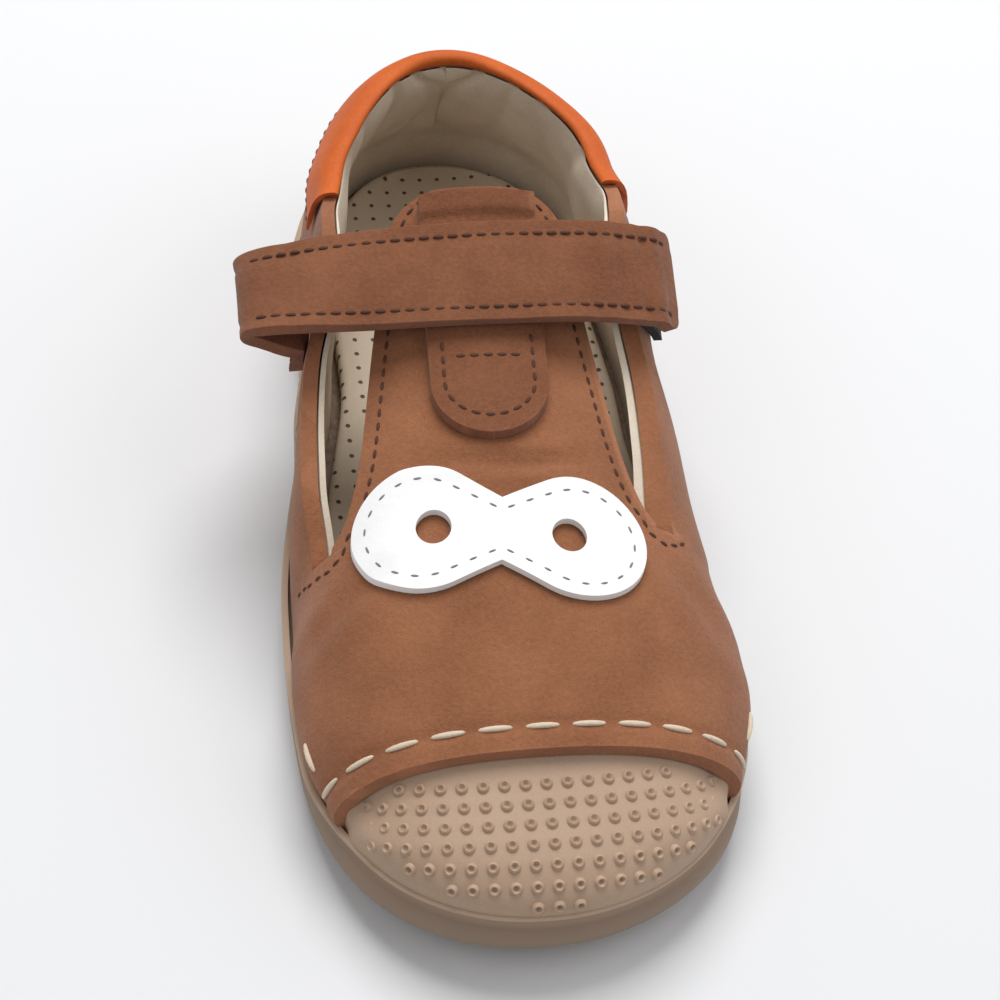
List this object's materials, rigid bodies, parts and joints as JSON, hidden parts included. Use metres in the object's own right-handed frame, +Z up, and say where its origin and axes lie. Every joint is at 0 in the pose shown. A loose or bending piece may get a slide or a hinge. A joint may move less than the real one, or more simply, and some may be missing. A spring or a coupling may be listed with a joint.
{
  "type": "toddler shoe",
  "caption": "T-bar toddler shoe with closed toe, side cut-outs, hook-and-loop strap, padded collar, rubber toe bumper and lugged cup sole, left foot",
  "frame": {"origin": "centre of the bounding box on the floor, under the sole", "axes": "toe along -Y, heel along +Y, outer (lateral) side +X, inner (medial) side -X, +Z up"},
  "size_m": [0.0725, 0.158, 0.0511],
  "materials": {
    "moulded_rubber": "matt, light tan",
    "orange_rubber": "satin",
    "insole_leather": "matt, perforated",
    "brown_leather": "nubuck, matt",
    "orange_leather": "matt",
    "white_leather": "smooth",
    "black_fastener": "hook and loop"
  },
  "bodies": {
    "root": {"outsole": "moulded_rubber", "sole_insert": "orange_rubber", "insole": "insole_leather", "upper": "brown_leather", "collar_band": "orange_leather", "keeper_tab": "brown_leather", "eye_patch": "white_leather", "strap": "brown_leather", "fastener_patch": "black_fastener"}
  },
  "joints": []
}
